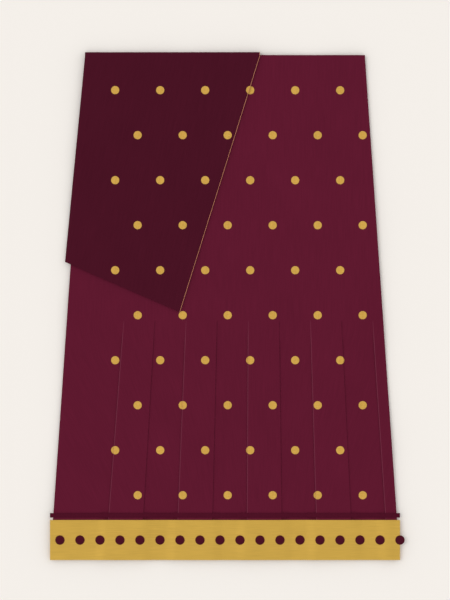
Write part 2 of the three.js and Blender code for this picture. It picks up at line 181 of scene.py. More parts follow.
Swell = namedtuple("Swell", "height wave_x wave_y turn")
SWELLS = (
    Swell(1.10, 410, 530, 0.4),
    Swell(0.75, 230, -340, 2.1),
    Swell(0.50, -150, 260, 4.0),
    Swell(0.25, 96, 120, 1.3),
)
Crease = namedtuple("Crease", "from_x from_y to_x to_y height width")
CREASES = (
    Crease(60, 1085, 150, 900, 1.3, 13),
    Crease(205, 1120, 262, 800, -1.1, 12),
    Crease(-40, 690, 95, 620, 1.0, 16),
    Crease(130, 760, 320, 700, -1.0, 15),
    Crease(20, 600, 240, 575, 1.0, 14),
    Crease(-330, 520, -250, 330, 1.2, 15),
    Crease(-345, 300, -290, 140, -1.0, 13),
    Crease(-210, 1080, -290, 860, 1.2, 15),
    Crease(-60, 1060, -120, 780, -1.1, 14),
    Crease(-240, 840, -150, 640, 1.1, 17),
)
CREASE_ENDS = 1.5  # the power of a sine by which a crease fades to its ends
SETTLES_FROM = 8.0  # all that lies above this height settles as one
CRISP_FROM, SMALL_WORK_CRISP_FROM = 50, 80  # degrees that an edge turns by


def smoothstep(x, start, end):
    """0 up to start and 1 from end on, with 3t^2 - 2t^3 between them."""
    t = np.clip((x - start) / (end - start), 0, 1)
    return t * t * (3 - 2 * t)


def settled(points):
    """Garment points after the cloth has settled. Slow sine waves and soft creases, each a bell
    across its line that fades to both ends, are added to z in proportion to the height."""
    x, y, z = np.moveaxis(np.asarray(points, float), -1, 0)
    lift = np.zeros_like(x)
    for s in SWELLS:
        lift += s.height * np.sin(2 * np.pi * (x / s.wave_x + y / s.wave_y) + s.turn)
    for c in CREASES:
        run_x, run_y = c.to_x - c.from_x, c.to_y - c.from_y
        length = math.hypot(run_x, run_y)
        along = ((x - c.from_x) * run_x + (y - c.from_y) * run_y) / length**2
        off = ((x - c.from_x) * run_y - (y - c.from_y) * run_x) / length
        fade = np.sin(np.pi * np.clip(along, 0, 1)) ** CREASE_ENDS
        lift += c.height * fade * np.exp(-((off / c.width) ** 2))
    return np.stack([x, y, z + lift * np.clip(z / SETTLES_FROM, 0, 1)], axis=-1)


def tangents(grid, axis):
    """The mean of the unit steps before and after each point of a grid, along one direction."""
    step = np.diff(grid, axis=axis)
    step /= np.linalg.norm(step, axis=-1, keepdims=True)
    first, last = np.take(step, [0], axis), np.take(step, [-1], axis)
    return np.concatenate([first, step], axis) + np.concatenate([step, last], axis)


def normals(grid):
    """Unit normals of a grid of points: across its columns cross along its rows."""
    normal = np.cross(tangents(grid, 1), tangents(grid, 0))
    return normal / np.linalg.norm(normal, axis=-1, keepdims=True)


def between_lines(first, second):
    """Quads between two lines of vertex numbers, in the order that faces away from the shell."""
    return np.stack([first[:-1], first[1:], second[1:], second[:-1]], axis=-1)


def shell(middle, thickness):
    """A closed shell of cloth round a grid of middle points: each side is the grid moved half the
    thickness along its normals, and a rim joins them. The map is the running length across the
    cloth from its middle, and along it from its first row, in metres."""
    half_way = normals(middle) * thickness / 2
    sides = np.stack([middle + half_way, middle - half_way])
    step_x = np.linalg.norm(np.diff(middle, axis=1), axis=-1)
    step_y = np.linalg.norm(np.diff(middle, axis=0), axis=-1)
    across = np.pad(step_x, ((0, 0), (1, 0))).cumsum(axis=1)
    across -= across[:, across.shape[1] // 2][:, None]
    along = np.pad(step_y, ((1, 0), (0, 0))).cumsum(axis=0)
    cloth_map = np.tile(np.stack([across, along], axis=-1).reshape(-1, 2) * MM, (2, 1))
    over, under = np.arange(sides.size // 3).reshape(sides.shape[:-1])
    top = np.stack([over[:-1, :-1], over[:-1, 1:], over[1:, 1:], over[1:, :-1]], axis=-1)
    bottom = np.stack([under[:-1, :-1], under[1:, :-1], under[1:, 1:], under[:-1, 1:]], axis=-1)
    rims = [
        between_lines(under[0], over[0]),
        between_lines(over[-1], under[-1]),
        between_lines(over[:, 0], under[:, 0]),
        between_lines(under[:, -1], over[:, -1]),
    ]
    faces = np.concatenate([top.reshape(-1, 4), bottom.reshape(-1, 4), *rims])
    return sides.reshape(-1, 3), faces.tolist(), cloth_map


def show(name, parts, material, crisp_from=CRISP_FROM):
    """One piece of the saree from closed parts, each with its points, faces and map. Edges that
    turn by more than the given degrees stay crisp."""
    points, faces, maps, count = [], [], [], 0
    for part_points, part_faces, part_map in parts:
        points.append(part_points)
        maps.append(part_map)
        faces += [[v + count for v in face] for face in part_faces]
        count += len(part_points)
    mesh = bpy.data.meshes.new(name)
    mesh.from_pydata(in_frame(np.concatenate(points)).tolist(), [], faces)
    mesh.polygons.foreach_set("use_smooth", np.ones(len(faces), bool))
    corner = np.empty(len(mesh.loops), np.int32)
    mesh.loops.foreach_get("vertex_index", corner)
    cloth_map = np.concatenate(maps)[corner]
    mesh.uv_layers.new(name="cloth").data.foreach_set("uv", cloth_map.astype(np.float32).ravel())
    mesh.set_sharp_from_angle(angle=math.radians(crisp_from))
    mesh.materials.append(material)
    piece = bpy.data.objects.new(name, mesh)
    bpy.context.collection.objects.link(piece)
    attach(piece, "root")
    return piece


# The gold spots are woven in rows a hand's width apart, every other row half a step along.
SPOT_RADIUS = 9.2
SPOT_STEP = 45 * MM_PER_PIXEL
SPOT_ROWS, SPOT_COLUMNS = 10, 6
FIRST_SPOT = from_pixel(115.2, 90.2)
SPOT_BLUR = 0.8  # the stepped edge of a woven spot, a few threads wide
SPOT_STRAY = 0.3 / SPOT_STEP  # how far single threads stray over the edge

SILK_THREAD = 1.3  # five times as coarse as real silk, so that the weave shows close up
ZARI_THREAD = 1.6
# Sizes of the marks in the cloth, in millimetres across it and along it.
SPOT_STEPS, SPOT_THREADS = (2.5, 1.6), (14, 1.1)
SLUBS, SILK_CLOUDS = (2.2, 60), (120, 150)
ZARI_THREADS, ZARI_CLOUDS = (45, 1.4), (160, 40)
CLOUD_DETAIL = 2.0
# Heights of the relief in millimetres.
SILK_WEAVE, SLUB_RISE, SPOT_RISE = 0.02, 0.06, 0.3
ZARI_WEAVE, ZARI_RISE = 0.025, 0.05


def maths(tree, operation, first, second=0.0):
    """The output of one sum in a node tree."""
    return add_node(tree, "ShaderNodeMath", {0: first, 1: second}, operation=operation)


def spot_mask(tree):
    """1 on a woven spot and 0 off it. The place is counted in steps from the first spot, right and
    down. The nearest row and column are rounded and kept to those that there are, and the mask
    falls with the distance from that spot's centre."""
    place = add_node(tree, "ShaderNodeTexCoord").node.outputs["Object"]
    place = add_node(tree, "ShaderNodeSeparateXYZ", {0: place}).node.outputs
    start_x, start_y, _ = in_frame((*FIRST_SPOT, 0)).tolist()
    step = SPOT_STEP * MM
    right = maths(tree, "DIVIDE", maths(tree, "SUBTRACT", place["X"], start_x), step)
    down = maths(tree, "DIVIDE", maths(tree, "SUBTRACT", start_y, place["Y"]), step)
    row = add_node(tree, "ShaderNodeClamp", {0: maths(tree, "ROUND", down), 2: SPOT_ROWS - 1.0})
    odd_row = maths(tree, "MODULO", row, 2.0)
    right = maths(tree, "SUBTRACT", right, maths(tree, "MULTIPLY", odd_row, 0.5))
    column = maths(tree, "ROUND", right)
    column = add_node(tree, "ShaderNodeClamp", {0: column, 2: SPOT_COLUMNS - 1.0})
    off = {0: maths(tree, "SUBTRACT", right, column), 1: maths(tree, "SUBTRACT", down, row)}
    off = {0: add_node(tree, "ShaderNodeCombineXYZ", off)}
    far = add_node(tree, "ShaderNodeVectorMath", off, operation="LENGTH")
    uneven = spread(tree, drawn_out_noise(tree, SPOT_STEPS), -SPOT_STRAY, SPOT_STRAY)
    far = maths(tree, "ADD", far, uneven)
    edge = SPOT_RADIUS / SPOT_STEP
    blur = SPOT_BLUR / SPOT_STEP / 2
    fall = {0: far, 1: edge - blur, 2: edge + blur, 3: 1.0, 4: 0.0}
    return add_node(tree, "ShaderNodeMapRange", fall, interpolation_type="SMOOTHSTEP")


def thread_relief(tree, thread):
    """Plain weave: a wave across the warp added to one across the weft, one turn a thread."""
    cloth_map = add_node(tree, "ShaderNodeUVMap", uv_map="cloth")
    turns = {0: cloth_map, "Scale": 2 * math.pi / (thread * MM)}
    turned = add_node(tree, "ShaderNodeVectorMath", turns, operation="SCALE")
    waves = add_node(tree, "ShaderNodeVectorMath", {0: turned}, operation="SINE")
    pair = add_node(tree, "ShaderNodeSeparateXYZ", {0: waves}).node.outputs
    return maths(tree, "ADD", pair["X"], pair["Y"])


def drawn_out_noise(tree, size, detail=3.0):
    """Noise that follows the cloth, with marks of the given millimetres across and along it."""
    cloth_map = add_node(tree, "ShaderNodeUVMap", uv_map="cloth")
    across, along = size
    stretch = {0: cloth_map, "Scale": (1 / (across * MM), 1 / (along * MM), 1)}
    marks = {"Vector": add_node(tree, "ShaderNodeMapping", stretch), "Scale": 1.0, "Detail": detail}
    return add_node(tree, "ShaderNodeTexNoise", marks)


def spread(tree, noise, low, high):
    """Noise from 0.3 to 0.7 spread from low to high."""
    return add_node(tree, "ShaderNodeMapRange", {0: noise, 1: 0.3, 2: 0.7, 3: low, 4: high})


def shaded(tree, colour, *shades):
    """A colour times one shade after another."""
    for shade in shades:
        colour = add_node(
            tree, "ShaderNodeVectorMath", {0: colour, "Scale": shade}, operation="SCALE"
        )
    return colour


def raised(tree, height, millimetres, normal=None):
    """A relief of the given height, laid over another."""
    relief = {"Strength": 1.0, "Distance": millimetres * MM, "Height": height}
    if normal is not None:
        relief["Normal"] = normal
    return add_node(tree, "ShaderNodeBump", relief)


def woven_silk(name, ground, zari):
    """Handloom silk: a fine plain weave with thick and thin threads and a soft sheen towards
    grazing light, with metal-wrapped thread brought up where a spot is woven."""
    material, tree = empty_material(name)
    spots = spot_mask(tree)
    slubs = drawn_out_noise(tree, SLUBS)
    clouds = drawn_out_noise(tree, SILK_CLOUDS, CLOUD_DETAIL)
    laid = drawn_out_noise(tree, SPOT_THREADS)
    spot_gold = shaded(tree, linear(zari)[:3], spread(tree, laid, 0.86, 1.1))
    pattern = {0: spots, 6: linear(ground), 7: spot_gold}
    colour = add_node(tree, "ShaderNodeMix", pattern, data_type="RGBA")
    # painted highlight: a paler colour along the fold edges that face the lamp
    painted_highlight = add_node(tree, "ShaderNodeAttribute", attribute_name="painted_highlight").node.outputs["Fac"]
    edge_highlight = {0: maths(tree, "MULTIPLY", painted_highlight, PAINTED_HIGHLIGHT_STRENGTH), 6: colour, 7: linear(PAINTED_HIGHLIGHT_SILK)}
    colour = add_node(tree, "ShaderNodeMix", edge_highlight, data_type="RGBA")
    # painted shade: a dark line along the fold edges that step down, where their pleats start
    painted_shade = add_node(tree, "ShaderNodeAttribute", attribute_name="painted_shade").node.outputs["Fac"]
    line = maths(tree, "SUBTRACT", 1.0, maths(tree, "MULTIPLY", painted_shade, PAINTED_SHADE_DEPTH))
    shades = spread(tree, slubs, 0.94, 1.06), spread(tree, clouds, 0.97, 1.03), line
    relief = raised(tree, thread_relief(tree, SILK_THREAD), SILK_WEAVE)
    relief = raised(tree, slubs, SLUB_RISE, relief)
    relief = raised(tree, maths(tree, "MULTIPLY", spots, laid), SPOT_RISE, relief)
    silk = {
        "Base Color": shaded(tree, colour, *shades),
        "Metallic": maths(tree, "MULTIPLY", spots, 0.3),
        "Roughness": spread(tree, slubs, 0.74, 0.62),
        "Specular IOR Level": 0.05,
        "Specular Tint": linear(SILK_GLOSS),
        "Sheen Weight": 0.2,
        "Sheen Roughness": 0.3,
        "Sheen Tint": linear(SILK_GLOSS),
        "Normal": relief,
    }
    shader = add_node(tree, "ShaderNodeBsdfPrincipled", silk)
    add_node(tree, "ShaderNodeOutputMaterial", {"Surface": shader})
    return material


def woven_zari(name, colour):
    """Zari border: silk thread wrapped in gilt metal, laid close side by side along the border,
    which gives a satin gold with a fine drawn-out glitter."""
    material, tree = empty_material(name)
    threads = drawn_out_noise(tree, ZARI_THREADS)
    clouds = drawn_out_noise(tree, ZARI_CLOUDS, CLOUD_DETAIL)
    shades = spread(tree, threads, 0.94, 1.06), spread(tree, clouds, 0.98, 1.02)
    relief = raised(tree, thread_relief(tree, ZARI_THREAD), ZARI_WEAVE)
    relief = raised(tree, threads, ZARI_RISE, relief)
    zari = {
        "Base Color": shaded(tree, linear(colour)[:3], *shades),
        "Metallic": 0.3,
        "Roughness": spread(tree, threads, 0.55, 0.42),
        "Specular IOR Level": 0.15,
        "Normal": relief,
    }
    shader = add_node(tree, "ShaderNodeBsdfPrincipled", zari)
    add_node(tree, "ShaderNodeOutputMaterial", {"Surface": shader})
    return material


PAINTED_HIGHLIGHT_SILK, PAINTED_HIGHLIGHT_STRENGTH = "#a05c70", 0.22  # painted highlight: a paler colour on the fold edges that face the lamp
PAINTED_SHADE_DEPTH = 0.28  # painted shade: how dark the fold edges that step down are painted where their pleats start
SILK_GLOSS = "#c4506e"  # light passes into the dyed thread and comes back wine red
BODY_RED = "#5d192e"
GOLD, SPOT_GOLD = "#c9a246", "#d2a851"
body_silk = woven_silk("burgundy_handloom_silk", BODY_RED, SPOT_GOLD)
gold_zari = woven_zari("woven_gold_zari", GOLD)


WANDER_WAVES = ((173.0, 0.6), (61.0, 0.28), (29.0, 0.12))  # each wave's length and its share
NEAR_FOLD = (0, 0.004, 0.012)  # shares of a layer's width, closer together beside its folds
RUN_FROM, RUN_TO, RUN_POINTS = 0.03, 0.97, 36
TURN_POINTS = 9  # round a half circle of cloth
RAMP_RIGHT, RAMP_END = TAIL_RIGHT + 2, TAIL_END - 4  # where the stack starts down to the table


def half_width(y):
    """Half the stack's width at a height above the hem: a straight line from hem to top."""
    return (HEM_WIDTH + (TOP_WIDTH - HEM_WIDTH) * y / CLOTH_WIDTH) / 2


def wander(y, seed, size):
    """A slow wander along an edge: the sum of three sine waves of unlike lengths."""
    phases = ((part, 2 * np.pi * y / wave + seed * wave) for wave, part in WANDER_WAVES)
    return size * sum(part * np.sin(phase) for part, phase in phases)


def zigzag(lefts, rights, levels):
    """Cloth folded back and forth: each layer runs straight between its left and its right line,
    at its own level, and half circles join it to the next. The lines are plan points, one for
    each row, and the layers run to the right and to the left by turns."""
    level_part = np.linspace(RUN_FROM, RUN_TO, RUN_POINTS)
    run = np.array([*NEAR_FOLD, *level_part, *(1 - t for t in NEAR_FOLD[::-1])])
    turn = np.linspace(-np.pi / 2, np.pi / 2, TURN_POINTS)[1:-1]
    plan, heights = [], []
    for k, level in enumerate(levels):
        left, right = lefts[k][:, None], rights[k][:, None]
        start, end = (left, right) if k % 2 == 0 else (right, left)
        plan.append(start + (end - start) * run[:, None])
        heights.append(np.full(run.shape, level))
        if k + 1 < len(levels):
            after = (rights if k % 2 == 0 else lefts)[k + 1][:, None]
            outwards = (end - start) / np.linalg.norm(end - start, axis=-1, keepdims=True)
            radius = (levels[k + 1] - level) / 2
            share = (np.sin(turn)[:, None] + 1) / 2
            plan.append(end + (after - end) * share + outwards * radius * np.cos(turn)[:, None])
            heights.append(level + radius + radius * np.sin(turn))
    plan = np.concatenate(plan, axis=1)
    z = np.broadcast_to(np.concatenate(heights), plan.shape[:2])
    return np.dstack([plan, z])


def stack_edges(k, inset):
    """The left and the right line of one hidden layer, from its hem to its top edge: the slanting
    sides of the stack, moved in and wandering a little."""
    low, high = SHORT_OF_HEM[k], CLOTH_WIDTH - SHORT_OF_TOP[k]
    y = np.concatenate(
        [
            np.linspace(low, BORDER_HEIGHT, STACK_ROWS_IN_BORDER),
            np.linspace(BORDER_HEIGHT, high, STACK_ROWS)[1:],
        ]
    )
    edge = half_width(y) - inset
    left = -edge + wander(y, k + 0.3, EDGE_WANDER)
    right = edge + wander(y, k + 0.7, EDGE_WANDER)
    return np.column_stack([left, y]), np.column_stack([right, y])


def over_tail(grid):
    """Lifts the stack where the pallu's tail lies under it, the lower layers more than the upper
    ones, with a ramp down beside the tail."""
    x, y, z = np.moveaxis(grid, -1, 0)
    over = 1 - smoothstep(x, RAMP_RIGHT, RAMP_RIGHT + TAIL_RAMP)
    over *= smoothstep(y, RAMP_END - TAIL_RAMP, RAMP_END)
    return np.dstack([x, y, z + TAIL_LIFT * over * np.clip(1 - z / SETTLES_FROM, 0, 1)])


nose = (FULL_LEVELS[1] - FULL_LEVELS[0]) / 2
edges = [stack_edges(k, SIDE_INSET + nose) for k in range(len(FULL_LEVELS))]
full_layers = over_tail(zigzag(*zip(*edges), FULL_LEVELS))
left_line, right_line = stack_edges(len(FULL_LEVELS), SHORT_INSET)
short_layer = over_tail(zigzag([left_line], [right_line], [SHORT_LEVEL]))
seam = STACK_ROWS_IN_BORDER - 1
hidden_zari = show(
    "hidden_zari",
    [shell(settled(grid[: seam + 1]), SILK) for grid in (full_layers, short_layer)],
    gold_zari,
)
hidden_silk = show(
    "hidden_silk",
    [shell(settled(grid[seam:]), SILK) for grid in (full_layers, short_layer)],
    body_silk,
)
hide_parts("hidden_border")
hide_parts("hidden_layers")

# The front stretch
# The top layer of burgundy silk. It turns under at both sides and is pressed into nine fold edges,
# box pleats that start a little above half height and fan out to the hem.
FRONT_LEVEL = 8.8
SIDE_RADIUS, SIDE_ROOM = 1, 0.5
TURNED_UNDER = (18, 13, 8, 4, 2)  # places across the strip that turns under, from its edge
FOLD_EDGES = 9
FAN_FROM_Y, FAN_TO_Y = 542, 101
FAN_MIDDLE, FAN_PITCH = (51.9, 49.7), (70.2, 78.1)  # at the two heights
PLEAT_RADIUS = 0.5
PLEAT_OPENS_OVER = 80
NEARLY_FLAT = 1e-4  # radians
TUCK_AT_HEM, LAST_TUCK_AT_HEM, SHORTEST_TUCK = 24, 4, 0.05
PANEL_SAG = 0.5
FOLD_LEAD = 1.2
LINES_FADE_IN = 6  # below the pleats' start
# where the painted highlight lies on each fold edge that faces the lamp, and how wide it is
HIGHLIGHT_INSET, HIGHLIGHT_WIDTH = 0.5, 0.65
UPPER_FROM, UPPER_TO, LEAST_RISE = 0.7, 0.85, 0.001  # which of a fold's two edges is the upper one
# the painted shade lines on the fold edges that step down
SHADE_LINE_INSET, SHADE_LINE_WIDTH = 0.8, 1.2
SHADE_LINE_FROM, SHADE_LINE_TO = 8, 42  # below the pleats' start, where the painted shade lines fade
FLANK_FALLS_FROM = 0.08  # the share of the last, narrow panel that stays up
FOLD_POINTS, PANEL_POINTS, FLANK_POINTS = 7, 11, 9
FRONT_ROWS = (11, 42, 25, 56)  # in the border, over open pleats, where they open, and above


def fan_line(i, y):
    """The x of fold edge i: straight lines, a constant pitch apart at each height."""
    along = (y - FAN_FROM_Y) / (FAN_TO_Y - FAN_FROM_Y)
    middle = FAN_MIDDLE[0] + (FAN_MIDDLE[1] - FAN_MIDDLE[0]) * along
    pitch = FAN_PITCH[0] + (FAN_PITCH[1] - FAN_PITCH[0]) * along
    return middle + (i - (FOLD_EDGES - 1) / 2) * pitch


def opening(y):
    """The angle that each round edge of a pleat turns through, from 0 above the pleats to pi."""
    return np.pi * smoothstep(FAN_FROM_Y - y, 0, PLEAT_OPENS_OVER)


def panel_rise(y):
    """How high a raised panel lies over the one beside it: two round edges, each 1 - cos of the
    angle over the bend."""
    bend = np.maximum(opening(y), NEARLY_FLAT) / (np.pi * PLEAT_RADIUS)
    return 2 * (1 - np.cos(opening(y))) / bend


def fold_up(x, y, tuck_at_hem):
    """One fold, stepping up to the right: a round edge, a stretch that runs back under, and a
    second round edge whose leftmost point is at x, with a short level lead at both ends. Both
    edges keep their length of cloth."""
    angle = opening(y)
    edge = np.pi * PLEAT_RADIUS
    bend = np.maximum(angle, NEARLY_FLAT) / edge
    opened = np.clip(1 - y / (FAN_FROM_Y - PLEAT_OPENS_OVER), 0, 1)
    tuck = np.maximum(tuck_at_hem * opened, SHORTEST_TUCK)
    s = np.linspace(0, edge, FOLD_POINTS)
    arc_x, arc_z = np.sin(bend * s) / bend, (1 - np.cos(bend * s)) / bend
    width = 2 * arc_x[:, -1:] + tuck * np.cos(angle)
    height = 2 * arc_z[:, -1:] + tuck * np.sin(angle)
    start = np.where(angle < np.pi / 2, x - width / 2, x + 1 / bend - width)
    far_x, far_z = start + width - arc_x[:, ::-1], height - arc_z[:, ::-1]
    end = far_x[:, -1:] + FOLD_LEAD
    x = np.hstack([start - FOLD_LEAD, start + arc_x, far_x, end])
    return x, np.hstack([0 * height, arc_z, far_z, height])


def mirrored(section, middle):
    """A section turned over left to right about a middle, and listed from left to right again."""
    x, z = section
    return (2 * middle - x)[:, ::-1], z[:, ::-1]


def side_fold(x):
    """The round fold at the left side, from the end of the turned-under strip to the top: the strip
    lies level, and a half circle brings it up."""
    turn = np.linspace(0, np.pi, TURN_POINTS)
    arc_x, arc_z = SIDE_RADIUS * (1 - np.sin(turn)), SIDE_RADIUS * (-1 - np.cos(turn))
    z = np.concatenate([np.full(len(TURNED_UNDER), -2.0 * SIDE_RADIUS), arc_z])
    return x + np.concatenate([TURNED_UNDER, arc_x]), np.broadcast_to(z, (len(x), len(z)))


def level_run(before, after, count):
    """Points spaced evenly from the end of one section to the start of the next, without the two,
    and the share of the way that each has gone."""
    share = np.linspace(0, 1, count + 2)[1:-1]
    (x0, z0), (x1, z1) = ((line[:, -1:] for line in before), (line[:, :1] for line in after))
    return x0 + (x1 - x0) * share, z0 + (z1 - z0) * share, share


def front_section(y):
    """The front's section at each height, left to right: a side fold, the fold edges with level
    panels between them, and the other side fold. Raised panels sag in the middle by a squared
    sine, and the last one falls to the side by a smoothstep."""
    side = half_width(y) - SIDE_ROOM
    rise = panel_rise(y)
    folds = []
    for i in range(FOLD_EDGES):
        x = fan_line(i, y)
        fold = fold_up(x, y, TUCK_AT_HEM if i < FOLD_EDGES - 1 else LAST_TUCK_AT_HEM)
        folds.append(fold if i % 2 == 0 else mirrored(fold, x))
    stops = [side_fold(-side), *folds, mirrored(side_fold(-side), 0)]
    xs, zs = [stops[0][0]], [stops[0][1]]
    for i, (before, after) in enumerate(zip(stops, stops[1:])):
        count = PANEL_POINTS if 0 < i < FOLD_EDGES else FLANK_POINTS
        x, z, share = level_run(before, after, count)
        if i == FOLD_EDGES:
            z = rise * (1 - smoothstep(share, FLANK_FALLS_FROM, 1))
        elif i % 2 == 1:
            z = z - PANEL_SAG * rise / (4 * PLEAT_RADIUS) * np.sin(np.pi * share) ** 2
        xs += [x, after[0]]
        zs += [z, after[1]]
    x, z = np.hstack(xs), np.hstack(zs)
    return np.dstack([x, np.broadcast_to(y, x.shape), z + FRONT_LEVEL])


def painted_highlight_edges(section, y):
    """How much painted highlight lies along the left-hand fold edges, which face the lamp: a bell
    across each crest, on the upper of its two edges alone."""
    x, _, z = np.moveaxis(section, -1, 0)
    share = (z - FRONT_LEVEL) / np.maximum(panel_rise(y), LEAST_RISE)
    upper = smoothstep(share, UPPER_FROM, UPPER_TO)
    crests = (fan_line(i, y) + HIGHLIGHT_INSET for i in range(0, FOLD_EDGES, 2))
    bells = sum(np.exp(-(((x - crest) / HIGHLIGHT_WIDTH) ** 2)) for crest in crests)
    return bells * upper * smoothstep(FAN_FROM_Y - y, 0, LINES_FADE_IN)


def painted_shade_lines(section, y):
    """How much painted shade lies along the right-hand fold edges where their pleats start: a bell
    across each, which fades away where the pleat has opened far enough to cast its own shade."""
    lines = (fan_line(i, y) + SHADE_LINE_INSET for i in range(1, FOLD_EDGES, 2))
    bells = sum(np.exp(-(((section[..., 0] - line) / SHADE_LINE_WIDTH) ** 2)) for line in lines)
    below = FAN_FROM_Y - y
    fade = smoothstep(below, 0, LINES_FADE_IN) * (1 - smoothstep(below, SHADE_LINE_FROM, SHADE_LINE_TO))
    return bells * fade


stops = (0, BORDER_HEIGHT, FAN_FROM_Y - PLEAT_OPENS_OVER, FAN_FROM_Y, CLOTH_WIDTH)
runs = [np.linspace(*run)[1:] for run in zip(stops, stops[1:], FRONT_ROWS)]
front_heights = np.concatenate([[0], *runs])[:, None]
front_middle = front_section(front_heights)
front_silk = show("front_silk", [shell(settled(front_middle), SILK)], body_silk)
front_silk.data.materials.append(gold_zari)
centres = np.empty((len(front_silk.data.polygons), 3), np.float32)
front_silk.data.polygons.foreach_get("center", centres.ravel())
in_border = centres[:, 1] < HEM_Y + BORDER_HEIGHT * MM
front_silk.data.polygons.foreach_set("material_index", in_border.astype(np.int32))
# painted highlight and painted shade along the fold edges, kept as values on the points
for name, marks in (("painted_highlight", painted_highlight_edges), ("painted_shade", painted_shade_lines)):
    both_sides = np.tile(marks(front_middle, front_heights).ravel(), 2)
    attribute = front_silk.data.attributes.new(name, "FLOAT", "POINT")
    attribute.data.foreach_set("value", both_sides.astype(np.float32))
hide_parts("wrap_front")

# The gold border and the dark ribbon
# A band of gold zari along the hem and a narrow dark ribbon above it. Both are sewn on over the
# pleats and are cut square at their ends. Small stitches hold the band's top edge and both long
# edges of the ribbon.
FRONT_TOP = 9.3
BORDER_END = 395
RAMP_FROM, RAMP_TO = 1.5, 26  # a band bridges each step beside the raised fold
BAND_LIFT = 0.8
RIBBON_FROM, RIBBON_TO = 95.9, 106.1
RIBBON_RED = "#4c1224"
STITCH_PITCH, STITCH_LENGTH, STITCH_WIDTH = 4.4, 2.6, 0.55
STITCH_INSET = 1.6
STITCH_TIP, STITCH_LIFT = 0.04, 0.05
STITCH_RINGS, STITCH_SIDES = 5, 6
BAND_COLUMNS, BAND_ROWS, RIBBON_ROWS = 440, 16, 4
RIBS, RIB_FIBRES, RIB_RISE = 1.2, (1.2, 12), 0.04


def height_over_folds(x, y):
    """The front's height over its own base, seen from above. Each raised panel is level with the
    sag in its middle, and a smooth ramp leads up to it outside both its folds."""
    rise = panel_rise(y)
    height = np.zeros(np.broadcast(x, y).shape)
    for i in range(0, FOLD_EDGES, 2):
        left, right = fan_line(i, y), fan_line(i + 1, y)
        up = smoothstep(x, left - RAMP_TO, left - RAMP_FROM)
        share = np.clip((x - left) / (right - left), 0, 1)
        if i < FOLD_EDGES - 1:
            down = 1 - smoothstep(x, right + RAMP_FROM, right + RAMP_TO)
            sag = PANEL_SAG * np.sin(np.pi * share) ** 2
        else:
            side = half_width(y) - SIDE_ROOM - SIDE_RADIUS
            flank = (x - left - RAMP_FROM) / (side - left - RAMP_FROM)
            down = 1 - smoothstep(flank, FLANK_FALLS_FROM, 1)
            sag = 0
        height = np.maximum(height, (rise - sag) * np.minimum(up, down))
    return height


def band_over_folds(low, high, rows):
    """The middle of a band sewn over the pleats between two heights above the hem."""
    x = np.linspace(-BORDER_END, BORDER_END, BAND_COLUMNS)[None]
    y = np.linspace(low, high, rows)[:, None]
    z = FRONT_TOP + BAND_LIFT + height_over_folds(x, y)
    return np.dstack([np.broadcast_to(x, z.shape), np.broadcast_to(y, z.shape), z])


def closed_tubes(rings):
    """Closed tubes through rings of points, in an array of tube, ring, place on the ring and xyz:
    quads between the rings, and one flat face at each end."""
    tubes, ring_count, around = rings.shape[:3]
    at = np.arange(tubes * ring_count * around).reshape(tubes, ring_count, around)
    after = np.roll(at, -1, axis=2)
    quads = np.stack([at[:, :-1], after[:, :-1], after[:, 1:], at[:, 1:]], axis=-1)
    ends = [*at[:, 0, ::-1], *at[:, -1]]
    faces = [*quads.reshape(-1, 4).tolist(), *(end.tolist() for end in ends)]
    return rings.reshape(-1, 3), faces


def stitch_row(y):
    """A row of running stitches across the garment at one height: each is a short thread, round in
    section, whose radius follows the root of a sine from end to end."""
    start = np.arange(-BORDER_END + STITCH_INSET, BORDER_END - STITCH_LENGTH, STITCH_PITCH)
    share = np.linspace(STITCH_TIP, 1 - STITCH_TIP, STITCH_RINGS)
    angle = np.linspace(0, 2 * np.pi, STITCH_SIDES, endpoint=False)
    radius = (STITCH_WIDTH / 2 * np.sqrt(np.sin(np.pi * share)))[:, None]
    x = start[:, None, None] + (STITCH_LENGTH * share)[:, None]
    across, up = radius * np.cos(angle), radius * np.sin(angle)
    top = FRONT_TOP + BAND_LIFT + SILK / 2 + height_over_folds(x, y)
    points = np.broadcast_arrays(x, y + across, top + STITCH_LIFT + up)
    points, faces = closed_tubes(settled(np.stack(points, axis=-1)))
    return points, faces, points[:, :2] * MM


def grosgrain(name, colour):
    """Grosgrain ribbon: close ribs from edge to edge in matt thread, with a little sheen."""
    material, tree = empty_material(name)
    fibres = drawn_out_noise(tree, RIB_FIBRES)
    relief = raised(tree, thread_relief(tree, RIBS), RIB_RISE)
    thread = {
        "Base Color": shaded(tree, linear(colour)[:3], spread(tree, fibres, 0.93, 1.07)),
        "Roughness": 0.6,
        "Specular IOR Level": 0.06,
        "Sheen Weight": 0.14,
        "Sheen Roughness": 0.4,
        "Specular Tint": linear(SILK_GLOSS),
        "Sheen Tint": linear(SILK_GLOSS),
        "Normal": relief,
    }
    shader = add_node(tree, "ShaderNodeBsdfPrincipled", thread)
    add_node(tree, "ShaderNodeOutputMaterial", {"Surface": shader})
    return material


dark_grosgrain = grosgrain("dark_wine_grosgrain", RIBBON_RED)
zari_band = show(
    "zari_band",
    [shell(settled(band_over_folds(0, BORDER_HEIGHT, BAND_ROWS)), SILK)],
    gold_zari,
)
dark_ribbon = show(
    "dark_ribbon",
    [shell(settled(band_over_folds(RIBBON_FROM, RIBBON_TO, RIBBON_ROWS)), SILK)],
    dark_grosgrain,
)
zari_stitches = show("zari_stitches", [stitch_row(BORDER_HEIGHT - STITCH_INSET)], gold_zari)
ribbon_stitches = show(
    "ribbon_stitches",
    [stitch_row(RIBBON_FROM + STITCH_INSET), stitch_row(RIBBON_TO - STITCH_INSET)],
    dark_grosgrain,
)
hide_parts("hem_border")
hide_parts("border_ribbon")

